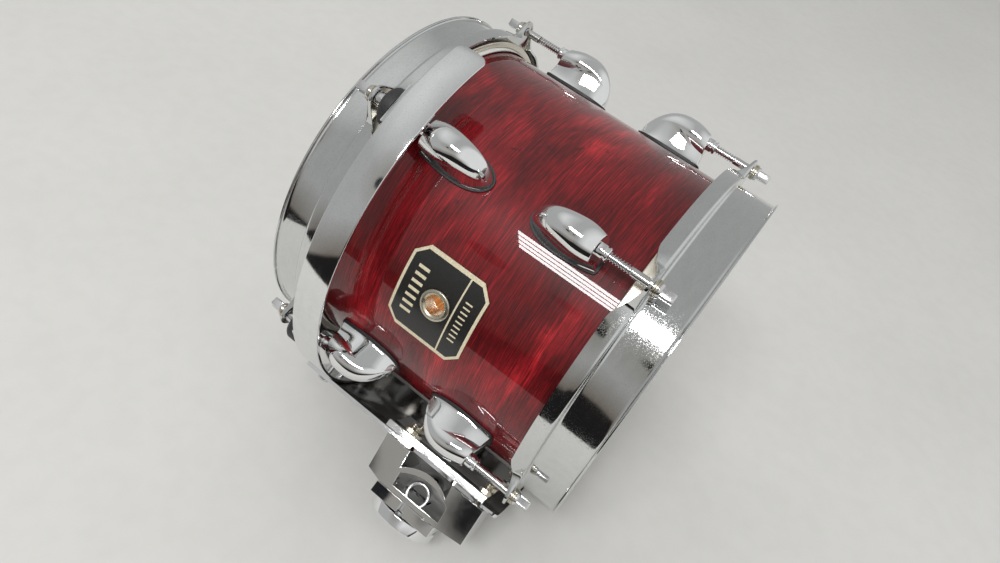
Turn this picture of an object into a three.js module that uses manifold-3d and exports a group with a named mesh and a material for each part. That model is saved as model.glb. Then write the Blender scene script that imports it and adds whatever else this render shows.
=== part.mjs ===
// A ten-inch rack tom drum lying on its side, as it rests on a floor.
// Millimetres, +Z up.
//
// The drum is modelled in its own frame and turned into its resting pose at the end.
// In the drum's frame X is the drum's axis and the resonant head is at +X. "Around" means
// an angle about X measured from +Z towards +Y, and "out" means distance from that axis.
// A piece that stands out from the shell is modelled with X along the drum, Y around it
// and Z out of it, and a group turns it to its place.

import * as THREE from 'three';
import { mergeVertices } from 'three/addons/utils/BufferGeometryUtils.js';
import Module from 'manifold-3d';

const wasm = await Module();
wasm.setup();

// ---- driving dimensions ----

const SHELL_RADIUS = 127;
const SHELL_HALF_DEPTH = 114.3;
const SHELL_WALL = 6.5;
const ROUND_STEPS = 60;
const GAP = 0.3;

const LUGS_PER_HEAD = 5;
const LUG_PITCH = 360 / LUGS_PER_HEAD;
const ROD_CIRCLE = 146.6;
const ROD_RADIUS = 2.9;
const ROD_HOLE = 3.5;
const WASHERS = [99.2, 101.9];
const ROD_HEAD_SIDE = 6.3;
const ROD_HEAD_LENGTH = 12.4;
const LUG_TAIL = 16.3;
const LUG_WIDEST = 40;
const LUG_FACE = 66;
const LUG_HALF_WIDTH = 11.2;
const LUG_FACE_HALF_WIDTH = 8.8;
const LUG_BARREL = 10.4;
const LUG_TOP = 156;
const GASKET_MARGIN = 1.3;
const GASKET_TOP = 128.6;

const FILM_OUTER = 128.7;
const FILM_THICKNESS = 0.6;
const FLESH_INNER = 129;
const FLESH_OUTER = 133.2;
const LEDGE = 96.9;
// The batter head is slacker, so its hoop's ledge and rods stand further out.
const BATTER_RISE = 5;
const SHEET = 1.6;
const WALL_INNER = 131.2;
const SKIRT_OUTER = 138.6;
const SKIRT_EDGE = 87;
const RIM_OUTER = 135;
const RIM_TOP = 127.6;
const EAR_RADIUS = 8;

const BADGE_ANGLE = -36.6;
const BADGE_MIDDLE = -4.3;
const BADGE_LENGTH = 58.6;
const BADGE_WIDTH = 62;
const BADGE_CORNER = 8.5;
const VENT_HOLE = 8.4;

const RING_INNER = 157.5;
const RING_OUTER = 160;
const RING_EDGES = [-82.5, -60];
const RING_ANGLES = [-225, 21];
const RING_RODS = [0, -72, -144, -216];
const TAB_THICKNESS = 2.3;

const PLATE_ANGLE = -106.5;
const PLATE_HALF_ANGLE = 18;
const PLATE_INNER = RING_OUTER + 0.4;
const PLATE_OUTER = PLATE_INNER + 2.5;
const PLATE_ENDS = [-86, 97];
const BACKING_INNER = 155;
const BACKING_OUTER = PLATE_INNER - 0.4;
const BACKING_ENDS = [-7, 84];
const BACKING_ANGLES = [-107.7, -89.3];
const RING_SCREW_ANGLES = [-93, -104];

const BRACKET_ANGLE = -96;
const BRACKET_HALF_WIDTH = 26;
const BRACKET_TOP = 191.5;
const BRACKET_SCREW_ENDS = [10, 80];
const BRACKET_SCREW_ANGLE = 4.8;
const BOLT_MIDDLE = 41;
const EYE_HEIGHT = 187;
const EYE_OUTER = 9.7;
const EYE_HOLE = 6.6;
const EYE_HALF_WIDTH = 5;
const SHANK_RADIUS = 3.9;
const BAR_THICKNESS = 8.8;
const KNOB_RADIUS = 27.5;
const KNOB_FACE = 201;

// Resting pose: the drum is rolled about its axis, then its axis is tipped.
const REST_ROLL = 34.4;
const REST_TIP = 1.95;

// ---- helpers ----

const radians = THREE.MathUtils.degToRad;
const ALONG_DRUM = new THREE.Matrix4().makeBasis(
  new THREE.Vector3(0, 1, 0), new THREE.Vector3(0, 0, 1), new THREE.Vector3(1, 0, 0));
const ACROSS_DRUM = new THREE.Matrix4().makeBasis(
  new THREE.Vector3(1, 0, 0), new THREE.Vector3(0, 0, 1), new THREE.Vector3(0, -1, 0));

// The vertices and triangles of a geometry as a solid, whichever way its faces turn.
function solid(geometry) {
  const bare = geometry.clone();
  bare.deleteAttribute('normal');
  bare.deleteAttribute('uv');
  const merged = mergeVertices(bare, 1e-4);
  const points = merged.attributes.position.array;
  const corners = merged.index.array;
  const kept = [];
  let volume = 0;
  const [a, b, c] = [new THREE.Vector3(), new THREE.Vector3(), new THREE.Vector3()];
  for (let i = 0; i < corners.length; i += 3) {
    const [p, q, r] = [corners[i], corners[i + 1], corners[i + 2]];
    if (p === q || q === r || r === p) continue;
    kept.push(p, q, r);
    a.fromArray(points, 3 * p);
    b.fromArray(points, 3 * q);
    c.fromArray(points, 3 * r);
    volume += a.dot(b.cross(c));
  }
  const triVerts = Uint32Array.from(volume > 0 ? kept : kept.reverse());
  const mesh = new wasm.Mesh({ numProp: 3, vertProperties: Float32Array.from(points), triVerts });
  return new wasm.Manifold(mesh);
}

function geometryOf(body) {
  const { vertProperties, triVerts } = body.getMesh();
  const geometry = new THREE.BufferGeometry();
  geometry.setAttribute('position', new THREE.BufferAttribute(vertProperties, 3));
  geometry.setIndex(new THREE.BufferAttribute(triVerts, 1));
  geometry.computeVertexNormals();
  return geometry;
}

function facedOut(geometry) {
  return geometryOf(solid(geometry));
}

// A profile of [out, along] points turned about the drum's axis.
function turned(profile, steps = ROUND_STEPS) {
  const points = profile.map(([out, along]) => new THREE.Vector2(out, along));
  return new THREE.LatheGeometry(points, steps).rotateZ(-Math.PI / 2);
}

// A profile of [radius, height] points turned about the Z axis.
function turnedUpright(profile, steps) {
  const points = profile.map(([radius, height]) => new THREE.Vector2(radius, height));
  return new THREE.LatheGeometry(points, steps).rotateX(Math.PI / 2);
}

function closed(profile) {
  return [...profile, profile[0]];
}

function polygon(points) {
  return new THREE.Shape(points.map(([x, y]) => new THREE.Vector2(x, y)));
}

function prism(shape, low, high, curveSegments = 8) {
  const settings = { depth: high - low, bevelEnabled: false, curveSegments };
  return new THREE.ExtrudeGeometry(shape, settings).translate(0, 0, low);
}

// An outline in [around, out] drawn along the drum.
function prismAlong(shape, low, high, curveSegments) {
  return prism(shape, low, high, curveSegments).applyMatrix4(ALONG_DRUM);
}

// An outline in [along, out] drawn around the drum, the same distance to both sides.
function prismAcross(shape, halfWidth, curveSegments) {
  return prism(shape, -halfWidth, halfWidth, curveSegments).applyMatrix4(ACROSS_DRUM);
}

function block(lowX, highX, lowY, highY, lowZ, highZ) {
  const box = new THREE.BoxGeometry(highX - lowX, highY - lowY, highZ - lowZ);
  return solid(box.translate((lowX + highX) / 2, (lowY + highY) / 2, (lowZ + highZ) / 2));
}

// A straight round hole along Z.
function drill(radius, low, high, x = 0, y = 0, steps = 20) {
  const bit = new THREE.CylinderGeometry(radius, radius, high - low, steps).rotateX(Math.PI / 2);
  return solid(bit.translate(x, y, (low + high) / 2));
}

function turnAbout(body, angle) {
  return body.rotate([-angle, 0, 0]);
}

// Part of a tube around the drum, between two angles and two ends.
function tubePart(inner, outer, [from, to], [low, high]) {
  const shape = new THREE.Shape();
  const start = radians(90 - to);
  const end = radians(90 - from);
  shape.absarc(0, 0, outer, start, end, false);
  shape.absarc(0, 0, inner, end, start, true);
  const steps = Math.max(4, Math.round((to - from) / 6));
  return solid(prismAlong(shape, low, high, steps));
}

// ---- shell, badge and vent ----

function makeShell() {
  const inner = SHELL_RADIUS - SHELL_WALL;
  const half = [
    [inner, SHELL_HALF_DEPTH - 4.7],
    [SHELL_RADIUS - 1.8, SHELL_HALF_DEPTH],
    [SHELL_RADIUS - 0.6, SHELL_HALF_DEPTH - 0.6],
    [SHELL_RADIUS, SHELL_HALF_DEPTH - 2],
  ];
  const other = half.map(([out, along]) => [out, -along]).reverse();
  const wall = solid(turned(closed([...half, ...other])));
  const vent = turnAbout(drill(VENT_HOLE, inner - 5, SHELL_RADIUS + 5, BADGE_MIDDLE), BADGE_ANGLE);
  return geometryOf(wall.subtract(vent));
}

function badgeOutline() {
  const long = BADGE_LENGTH / 2;
  const wide = BADGE_WIDTH / 2;
  const corners = [];
  for (const [x, y] of [[1, -1], [1, 1], [-1, 1], [-1, -1]]) {
    const cutLong = [x * (long - BADGE_CORNER), y * wide];
    const cutWide = [x * long, y * (wide - BADGE_CORNER)];
    corners.push(...(x * y < 0 ? [cutLong, cutWide] : [cutWide, cutLong]));
  }
  return polygon(corners.map(([x, y]) => [x + BADGE_MIDDLE, y]));
}

function makeBadge() {
  const skin = tubePart(SHELL_RADIUS + 0.5, SHELL_RADIUS + 1.3, [-18, 18], [-50, 50]);
  const outline = solid(prism(badgeOutline(), SHELL_RADIUS - 12, SHELL_RADIUS + 5));
  const hole = drill(VENT_HOLE, SHELL_RADIUS - 10, SHELL_RADIUS + 10, BADGE_MIDDLE);
  return geometryOf(skin.intersect(outline).subtract(hole));
}

function makeVentGrommet() {
  const inner = SHELL_RADIUS - SHELL_WALL;
  return facedOut(turnedUpright(closed([
    [6.7, inner - 2.2],
    [10, inner - 2.2],
    [10, inner - 1],
    [7.9, inner - 1],
    [7.9, SHELL_RADIUS + 1.7],
    [10.8, SHELL_RADIUS + 1.7],
    [10.4, SHELL_RADIUS + 2.7],
    [8.4, SHELL_RADIUS + 3.2],
    [6.7, SHELL_RADIUS + 2.4],
  ]), 20));
}

// ---- heads and hoops, modelled for the +X end ----

function makeFilm() {
  const outerFace = SHELL_HALF_DEPTH + GAP + FILM_THICKNESS;
  const collarInner = FILM_OUTER - 0.8;
  return facedOut(turned([
    [0, outerFace],
    [FILM_OUTER - 1.5, outerFace],
    [FILM_OUTER, outerFace - 1.4],
    [FILM_OUTER, 90],
    [collarInner, 90],
    [collarInner, outerFace - 1.8],
    [collarInner - 1, SHELL_HALF_DEPTH + GAP],
    [0, SHELL_HALF_DEPTH + GAP],
  ]));
}

function makeFleshHoop(rise) {
  const [low, high] = [LEDGE + rise - 8.9, LEDGE + rise - 0.4];
  return facedOut(turned(closed([
    [FLESH_INNER, low],
    [FLESH_OUTER, low],
    [FLESH_OUTER, high],
    [FLESH_INNER, high],
  ])));
}

// How far the skirt is cut back towards the ledge, from 0 between two rods to 1 at a rod.
function skirtLift(angle) {
  const fromRod = Math.abs(angle - LUG_PITCH * Math.round(angle / LUG_PITCH));
  return 1 - THREE.MathUtils.smoothstep(fromRod, 1.5, 12.5);
}

function makeCounterhoop(rise) {
  const ledge = LEDGE + rise;
  const edge = SKIRT_EDGE + rise;
  const skirtInner = SKIRT_OUTER - SHEET;
  const wallOuter = WALL_INNER + SHEET;
  const hoop = turned(closed([
    [SKIRT_OUTER, edge],
    [SKIRT_OUTER, ledge - 0.1],
    [SKIRT_OUTER - 1.6, ledge + 1.5],
    [wallOuter + 0.4, ledge + 1.5],
    [wallOuter, ledge + 1.9],
    [wallOuter, RIM_TOP - 3.2],
    [RIM_OUTER, RIM_TOP - 1.4],
    [RIM_OUTER, RIM_TOP],
    [RIM_OUTER - 1.8, RIM_TOP],
    [WALL_INNER, RIM_TOP - 2],
    [WALL_INNER, ledge],
    [skirtInner - 0.4, ledge],
    [skirtInner, ledge - 0.5],
    [skirtInner, edge],
  ]));
  const places = hoop.attributes.position;
  for (let i = 0; i < places.count; i += 1) {
    if (places.getX(i) > edge + 0.1) continue;
    const angle = THREE.MathUtils.radToDeg(Math.atan2(places.getY(i), places.getZ(i)));
    places.setX(i, edge + (ledge - 0.7 - edge) * skirtLift(angle));
  }
  let body = solid(hoop);
  const ear = solid(prismAlong(earOutline(), ledge, ledge + 2, 5));
  const hole = solid(new THREE.CylinderGeometry(ROD_HOLE, ROD_HOLE, 20, 16)
    .rotateZ(Math.PI / 2).translate(ledge, 0, ROD_CIRCLE));
  for (let k = 0; k < LUGS_PER_HEAD; k += 1) {
    body = body.add(turnAbout(ear, k * LUG_PITCH)).subtract(turnAbout(hole, k * LUG_PITCH));
  }
  return geometryOf(body);
}

// The ear narrows from the ledge to a round end about the rod.
function earOutline() {
  const shape = new THREE.Shape();
  const foot = WALL_INNER + 2;
  shape.moveTo(-17, foot);
  shape.lineTo(17, foot);
  shape.quadraticCurveTo(9.5, SKIRT_OUTER, EAR_RADIUS, ROD_CIRCLE);
  shape.absarc(0, ROD_CIRCLE, EAR_RADIUS, 0, Math.PI, false);
  shape.quadraticCurveTo(-9.5, SKIRT_OUTER, -17, foot);
  return shape;
}

// ---- lugs, gaskets and tension rods, modelled for the +X end ----

// The lug seen from outside: a round tail, then sides that draw in towards a flat face.
function lugPlan(margin) {
  const shape = new THREE.Shape();
  const tail = LUG_TAIL - margin;
  const face = LUG_FACE + margin;
  const side = LUG_HALF_WIDTH + margin;
  const faceSide = LUG_FACE_HALF_WIDTH + margin;
  shape.moveTo(tail, 0);
  shape.bezierCurveTo(tail, -side * 0.7, tail + 9, -side, LUG_WIDEST, -side);
  shape.quadraticCurveTo(LUG_WIDEST + 12, -side, face - margin, -faceSide);
  shape.quadraticCurveTo(face, -faceSide, face, -faceSide + margin);
  shape.lineTo(face, faceSide - margin);
  shape.quadraticCurveTo(face, faceSide, face - margin, faceSide);
  shape.quadraticCurveTo(LUG_WIDEST + 12, side, LUG_WIDEST, side);
  shape.bezierCurveTo(tail + 9, side, tail, side * 0.7, tail, 0);
  return shape;
}

function lugSide() {
  const foot = GASKET_TOP + GAP;
  const shape = new THREE.Shape();
  shape.moveTo(LUG_TAIL, foot);
  shape.bezierCurveTo(LUG_TAIL + 0.7, 144, 25, 154, 46, LUG_TOP - 0.2);
  shape.quadraticCurveTo(58, LUG_TOP + 0.6, 63.5, LUG_TOP - 3.6);
  shape.lineTo(LUG_FACE, foot);
  return shape;
}

function lugFront() {
  const foot = GASKET_TOP + GAP;
  const wide = LUG_BARREL;
  const shape = new THREE.Shape();
  shape.moveTo(-LUG_HALF_WIDTH, foot);
  shape.lineTo(LUG_HALF_WIDTH, foot);
  shape.quadraticCurveTo(wide, 132, wide, ROD_CIRCLE);
  shape.bezierCurveTo(wide, 152.2, 6, LUG_TOP + 0.2, 0, LUG_TOP + 0.2);
  shape.bezierCurveTo(-6, LUG_TOP + 0.2, -wide, 152.2, -wide, ROD_CIRCLE);
  shape.quadraticCurveTo(-wide, 132, -LUG_HALF_WIDTH, foot);
  return shape;
}

function makeLug() {
  const side = solid(prismAcross(lugSide(), 15, 7));
  const plan = solid(prism(lugPlan(0), 120, 165, 5));
  const front = solid(prismAlong(lugFront(), 0, 80, 5));
  const bore = solid(new THREE.CylinderGeometry(ROD_HOLE, ROD_HOLE, 40, 14)
    .rotateZ(Math.PI / 2).translate(62, 0, ROD_CIRCLE));
  return geometryOf(side.intersect(plan).intersect(front).subtract(bore));
}

function makeGasket() {
  const pad = solid(prism(lugPlan(GASKET_MARGIN), SHELL_RADIUS - 4, GASKET_TOP, 5));
  const seat = solid(turned([[0, 0], [SHELL_RADIUS + 0.5, 0], [SHELL_RADIUS + 0.5, 90], [0, 90]], 180));
  return geometryOf(pad.subtract(seat));
}

// A rod with its captive washers under a square head.
function makeTensionRod(rise) {
  const [low, high] = WASHERS.map((along) => along + rise);
  const shank = solid(turned([
    [0, 50],
    [2.2, 50],
    [2.75, 51],
    [2.75, 86.5],
    [ROD_RADIUS, 88],
    [ROD_RADIUS, low],
    [5.6, low],
    [5.6, high],
    [5.1, high],
    [5.1, high + 2.3],
    [0, high + 2.5],
  ], 12).translate(0, 0, ROD_CIRCLE));
  const half = ROD_HEAD_SIDE / 2;
  const head = block(high + 2.1, high + ROD_HEAD_LENGTH, -half, half, ROD_CIRCLE - half, ROD_CIRCLE + half);
  return geometryOf(shank.add(head));
}

// ---- suspension ring and its rubbers ----

function tabOutline() {
  const shape = new THREE.Shape();
  shape.moveTo(-14, RING_INNER + 1.2);
  shape.lineTo(-12.5, ROD_CIRCLE);
  shape.absarc(0, ROD_CIRCLE, 12.5, Math.PI, 2 * Math.PI, false);
  shape.lineTo(14, RING_INNER + 1.2);
  return shape;
}

function makeSuspensionRing() {
  let ring = tubePart(RING_INNER, RING_OUTER, RING_ANGLES, RING_EDGES);
  const edge = RING_EDGES[0];
  const tab = solid(prismAlong(tabOutline(), edge - TAB_THICKNESS, edge + 1, 5));
  const hole = solid(new THREE.CylinderGeometry(7, 7, 20, 16).rotateZ(Math.PI / 2)
    .translate(edge, 0, ROD_CIRCLE));
  for (const angle of RING_RODS) {
    ring = ring.add(turnAbout(tab, angle)).subtract(turnAbout(hole, angle));
  }
  for (const angle of RING_SCREW_ANGLES) {
    ring = ring.subtract(turnAbout(drill(2.8, 150, 170, ringMiddle()), angle));
  }
  return geometryOf(ring);
}

// A rubber dome on the tab, with a narrow neck up to the batter hoop's ear.
function makeIsolationRubber() {
  const tabOuter = RING_EDGES[0] - TAB_THICKNESS;
  const ear = -(LEDGE + BATTER_RISE - GAP);
  const dome = -93.5;
  return facedOut(turned(closed([
    [ROD_HOLE, ear],
    [4.8, ear],
    [4.8, dome],
    [11.2, dome],
    [12.8, dome + 2],
    [12.8, tabOuter - GAP],
    [6.6, tabOuter - GAP],
    [6.6, RING_EDGES[0] + 1 + GAP],
    [10, RING_EDGES[0] + 1 + GAP],
    [8.6, RING_EDGES[0] + 5],
    [ROD_HOLE, RING_EDGES[0] + 5],
  ]), 16)).translate(0, 0, ROD_CIRCLE);
}

// ---- mount plate, bracket and clamp, modelled with Z out of the plate ----

function ringMiddle() {
  return (RING_EDGES[0] + RING_EDGES[1]) / 2;
}

function bracketScrewPlaces() {
  const places = [];
  for (const along of BRACKET_SCREW_ENDS) {
    for (const side of [BRACKET_SCREW_ANGLE, -BRACKET_SCREW_ANGLE]) {
      places.push([along, BRACKET_ANGLE + side]);
    }
  }
  return places;
}

function plateOutline() {
  const [low, high] = PLATE_ENDS;
  const half = PLATE_OUTER * Math.sin(radians(PLATE_HALF_ANGLE)) + 1;
  const notch = half - 6;
  const shape = new THREE.Shape();
  shape.moveTo(low, -half);
  shape.lineTo(high - 30, -half);
  shape.lineTo(high - 12, -half + 3);
  shape.quadraticCurveTo(high, -half + 5, high, -half + 17);
  shape.lineTo(high, half - 17);
  shape.quadraticCurveTo(high, half - 5, high - 12, half - 3);
  shape.lineTo(high - 30, half);
  shape.lineTo(60, half);
  shape.lineTo(57, notch);
  shape.lineTo(21, notch);
  shape.lineTo(18, half);
  shape.lineTo(low, half);
  return shape;
}

function makeMountPlate() {
  const angles = [-PLATE_HALF_ANGLE, PLATE_HALF_ANGLE];
  const skin = tubePart(PLATE_INNER, PLATE_OUTER, angles, PLATE_ENDS);
  let plate = turnAbout(skin.intersect(solid(prism(plateOutline(), 140, 180, 5))), PLATE_ANGLE);
  for (const angle of RING_SCREW_ANGLES) {
    plate = plate.subtract(turnAbout(drill(2.8, 150, 170, ringMiddle()), angle));
  }
  for (const [along, angle] of bracketScrewPlaces()) {
    plate = plate.subtract(turnAbout(drill(2.8, 150, 170, along), angle));
  }
  return geometryOf(plate);
}

function makeBackingPlate() {
  let plate = tubePart(BACKING_INNER, BACKING_OUTER, BACKING_ANGLES, BACKING_ENDS);
  for (const [along, angle] of bracketScrewPlaces()) {
    plate = plate.subtract(turnAbout(drill(2.8, 150, 170, along), angle));
  }
  return geometryOf(plate);
}

// The bracket seen from the side: two legs, an arched rib between them and an outer wall.
function bracketOutline() {
  const foot = 156;
  const shape = new THREE.Shape();
  shape.moveTo(-1, foot);
  shape.lineTo(20.5, foot);
  shape.lineTo(22.5, 174);
  shape.quadraticCurveTo(44, 158.5, 62, 171.5);
  shape.lineTo(59, foot);
  shape.lineTo(88, foot);
  shape.lineTo(89.5, BRACKET_TOP - 2.5);
  shape.lineTo(69, BRACKET_TOP);
  shape.lineTo(15, BRACKET_TOP);
  shape.lineTo(3, BRACKET_TOP - 3);
  const opening = new THREE.Path();
  opening.moveTo(25.5, 187.5);
  opening.lineTo(24.5, 177.5);
  opening.quadraticCurveTo(45, 163.5, 66.5, 176);
  opening.lineTo(67.5, 187.5);
  shape.holes.push(opening);
  return shape;
}

function makeBracketBody() {
  const wide = BRACKET_HALF_WIDTH;
  let body = solid(prismAcross(bracketOutline(), wide, 7));
  const seat = solid(turned([[0, -10], [PLATE_OUTER + GAP, -10], [PLATE_OUTER + GAP, 100], [0, 100]], 180));
  const slot = block(BOLT_MIDDLE - 10.6, BOLT_MIDDLE + 10.6, -6, 6, 180, 195);
  body = body.subtract(seat).subtract(slot);
  for (const along of BRACKET_SCREW_ENDS) {
    for (const side of [BRACKET_SCREW_ANGLE, -BRACKET_SCREW_ANGLE]) {
      body = body.subtract(turnAbout(drill(2.8, 150, 173, along), side));
    }
  }
  return geometryOf(body);
}

function makeEyeBolt() {
  const eye = solid(new THREE.CylinderGeometry(EYE_OUTER, EYE_OUTER, 2 * EYE_HALF_WIDTH, 24)
    .translate(BOLT_MIDDLE, 0, EYE_HEIGHT));
  const shank = drill(SHANK_RADIUS, EYE_HEIGHT + EYE_OUTER - 1.5, 208, BOLT_MIDDLE, 0, 16);
  const hole = solid(new THREE.CylinderGeometry(EYE_HOLE, EYE_HOLE, 30, 24)
    .translate(BOLT_MIDDLE, 0, EYE_HEIGHT));
  return geometryOf(eye.add(shank).subtract(hole));
}

function makeClampBar() {
  const low = BRACKET_TOP + GAP;
  const high = low + BAR_THICKNESS;
  const shape = new THREE.Shape();
  const [long, wide, corner] = [26.5, BRACKET_HALF_WIDTH, 7];
  shape.moveTo(-long + corner, -wide);
  shape.lineTo(long - corner, -wide);
  shape.absarc(long - corner, -wide + corner, corner, -Math.PI / 2, 0, false);
  shape.lineTo(long, wide);
  shape.lineTo(-long, wide);
  shape.absarc(-long + corner, -wide + corner, corner, Math.PI, 1.5 * Math.PI, false);
  const plate = solid(prism(shape, low, high, 4).translate(BOLT_MIDDLE, 0, 0));
  const pocketTop = EYE_HEIGHT + EYE_OUTER + 0.5;
  const pocket = block(BOLT_MIDDLE - 10.6, BOLT_MIDDLE + 10.6, -6, 6, low - 1, pocketTop);
  const hole = drill(SHANK_RADIUS + 0.5, low - 1, high + 1, BOLT_MIDDLE, 0, 16);
  const mouth = block(BOLT_MIDDLE - 2.2, BOLT_MIDDLE + 2.2, 18, wide + 1, low - 1, high + 1);
  return geometryOf(plate.subtract(pocket).subtract(hole).subtract(mouth));
}

function makeClampKnob() {
  const face = KNOB_FACE;
  const knob = facedOut(turnedUpright([
    [0, face + 7.5],
    [SHANK_RADIUS + 0.4, face + 7.5],
    [SHANK_RADIUS + 0.4, face],
    [10, face],
    [10, face + 1.2],
    [KNOB_RADIUS - 1, face + 1.4],
    [KNOB_RADIUS, face + 2.6],
    [KNOB_RADIUS, face + 8],
    [KNOB_RADIUS - 2.5, face + 10.3],
    [0, face + 12],
  ], 40));
  return knob.translate(BOLT_MIDDLE, 0, 0);
}

function makeRingScrew() {
  const head = PLATE_OUTER + GAP + 0.1;
  return facedOut(turnedUpright([
    [0, 150.5],
    [1.8, 150.5],
    [2.4, 151.3],
    [2.4, head],
    [5.4, head],
    [4.6, head + 2.2],
    [2.4, head + 3.2],
    [0, head + 3.4],
  ], 12)).translate(ringMiddle(), 0, 0);
}

// A stud with a six-sided nut against the backing plate.
function makeBracketScrew() {
  const stud = drill(2.4, 146, 172, 0, 0, 12);
  const nut = drill(4.6, BACKING_INNER - 4.3, BACKING_INNER - 0.8, 0, 0, 6);
  return geometryOf(stud.add(nut));
}

// ---- materials ----

function material(color, roughness, metalness) {
  return new THREE.MeshStandardMaterial({ color, roughness, metalness });
}

const lacquer = () => material(0x7d0c14, 0.12, 0);
const chrome = () => material(0xd4d6d8, 0.08, 1);
const steel = () => material(0xb4b4b2, 0.3, 1);
const brass = () => material(0xb59a5a, 0.3, 1);
const rubber = () => material(0x161616, 0.7, 0);
const aluminium = () => material(0xcfc8b8, 0.4, 1);
const film = () => material(0xf0efe9, 0.5, 0);
const badgeMetal = () => material(0x1d1b19, 0.3, 0.5);

// ---- assembly ----

const drum = new THREE.Group();

function add(name, geometry, finish, parent = drum) {
  const mesh = new THREE.Mesh(geometry, finish);
  mesh.name = name;
  parent.add(mesh);
  return mesh;
}

function around(angle) {
  const group = new THREE.Group();
  group.rotation.x = -radians(angle);
  drum.add(group);
  return group;
}

function addShellAndBadge() {
  add('shell', makeShell(), lacquer());
  add('badge', makeBadge(), badgeMetal(), around(BADGE_ANGLE));
  const vent = add('vent_grommet', makeVentGrommet(), chrome(), around(BADGE_ANGLE));
  vent.position.x = BADGE_MIDDLE;
}

// The pieces of one end; the batter end is the same, turned half round about Z.
function addEnd(end, turn, rise) {
  const parts = [
    ['head_film', makeFilm(), film()],
    ['flesh_hoop', makeFleshHoop(rise), aluminium()],
    ['counterhoop', makeCounterhoop(rise), chrome()],
  ];
  for (const [name, geometry, finish] of parts) {
    add(`${end}_${name}`, geometry, finish).rotation.z = turn;
  }
  for (let k = 0; k < LUGS_PER_HEAD; k += 1) {
    const place = around(k * LUG_PITCH);
    const number = k + 1;
    add(`${end}_lug_${number}`, makeLug(), chrome(), place).rotation.z = turn;
    add(`${end}_lug_gasket_${number}`, makeGasket(), rubber(), place).rotation.z = turn;
    add(`${end}_tension_rod_${number}`, makeTensionRod(rise), steel(), place).rotation.z = turn;
  }
}

function addSuspension() {
  add('suspension_ring', makeSuspensionRing(), chrome());
  RING_RODS.forEach((angle, k) => {
    add(`isolation_rubber_${k + 1}`, makeIsolationRubber(), rubber(), around(angle));
  });
  add('mount_plate', makeMountPlate(), chrome());
  add('backing_plate', makeBackingPlate(), chrome());
  RING_SCREW_ANGLES.forEach((angle, k) => {
    add(`ring_screw_${k + 1}`, makeRingScrew(), steel(), around(angle));
  });
}

function addBracket() {
  const place = around(BRACKET_ANGLE);
  add('bracket_body', makeBracketBody(), chrome(), place);
  add('eye_bolt', makeEyeBolt(), steel(), place);
  add('clamp_bar', makeClampBar(), chrome(), place);
  add('clamp_knob', makeClampKnob(), chrome(), place);
  bracketScrewPlaces().forEach(([along, angle], k) => {
    const screw = add(`bracket_screw_${k + 1}`, makeBracketScrew(), brass(), around(angle));
    screw.position.x = along;
  });
}

addShellAndBadge();
addEnd('resonant', 0, 0);
addEnd('batter', Math.PI, BATTER_RISE);
addSuspension();
addBracket();

// Turn the drum into its resting pose, then stand its box on z = 0 about the origin.
const rolled = new THREE.Group();
rolled.add(drum);
drum.rotation.x = radians(REST_ROLL);
rolled.rotation.y = radians(REST_TIP);

const assembly = new THREE.Group();
assembly.add(rolled);
assembly.updateMatrixWorld(true);
const box = new THREE.Box3().setFromObject(assembly, true);
rolled.position.set(-(box.min.x + box.max.x) / 2, -(box.min.y + box.max.y) / 2, -box.min.z);

export default assembly;
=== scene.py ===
"""Looks of a rack tom drum lying on its side on a pale floor.

Lengths are millimetres in the drum's own frame: X is the drum's axis, with the resonant head
at +X. "Out" is distance from that axis and "around" is an angle about it, from +Z towards +Y.
Every mesh is turned into the row frame, in metres, when it is made.
"""

import math

import bmesh
import bpy
from mathutils import Matrix, Vector


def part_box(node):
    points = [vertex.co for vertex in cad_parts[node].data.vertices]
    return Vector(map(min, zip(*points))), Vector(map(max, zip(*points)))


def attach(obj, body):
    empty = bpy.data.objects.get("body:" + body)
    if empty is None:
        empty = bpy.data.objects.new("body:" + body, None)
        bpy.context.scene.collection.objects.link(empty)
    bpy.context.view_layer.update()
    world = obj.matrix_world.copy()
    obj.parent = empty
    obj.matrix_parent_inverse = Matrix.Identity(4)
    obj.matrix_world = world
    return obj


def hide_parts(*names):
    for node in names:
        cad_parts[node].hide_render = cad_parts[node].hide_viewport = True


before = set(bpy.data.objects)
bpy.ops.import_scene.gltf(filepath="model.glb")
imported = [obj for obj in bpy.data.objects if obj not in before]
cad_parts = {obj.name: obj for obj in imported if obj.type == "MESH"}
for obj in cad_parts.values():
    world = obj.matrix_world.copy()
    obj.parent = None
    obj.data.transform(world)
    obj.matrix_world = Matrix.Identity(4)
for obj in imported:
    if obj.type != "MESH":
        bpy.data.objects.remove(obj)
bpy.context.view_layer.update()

# ---- dimensions, as in the CAD ----

SHELL = 127.0  # outside radius
SHELL_INNER = 120.5
HALF_DEPTH = 114.3
LUG_PITCH = 72.0  # degrees from one lug to the next
ROD_CIRCLE = 146.6  # how far out the tension rods are
VENT_HOLE = 8.4  # radius
BADGE_ANGLE = -36.6
BADGE_MIDDLE = -4.3
BADGE_HALF_LENGTH = 29.3

LEDGE = 96.9  # the hoop's flat step, where the rods pull
SHEET = 1.6  # the hoop's thickness
WALL = 131.2  # inside of the hoop's wall
SKIRT = 138.6  # the ledge's bend, between two ears
SKIRT_EDGE = 87.0
EAR_RADIUS = 8.0
EAR_HALF_WIDTH = 7.0
EAR_REACH = 17.5  # where the ear has run out into the skirt
RIM_OUTER = 135.0
RIM_TOP = 127.6
BATTER_RISE = 5.0  # how much further out the batter hoop's ledge is

GASKET_TOP = 128.6
LUG_TAIL = 16.3
LUG_WIDEST = 40.0
LUG_FACE = 66.0
LUG_HALF_WIDTH = 11.2
LUG_HEIGHT = 27.4
THREAD_PITCH = 1.9

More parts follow.
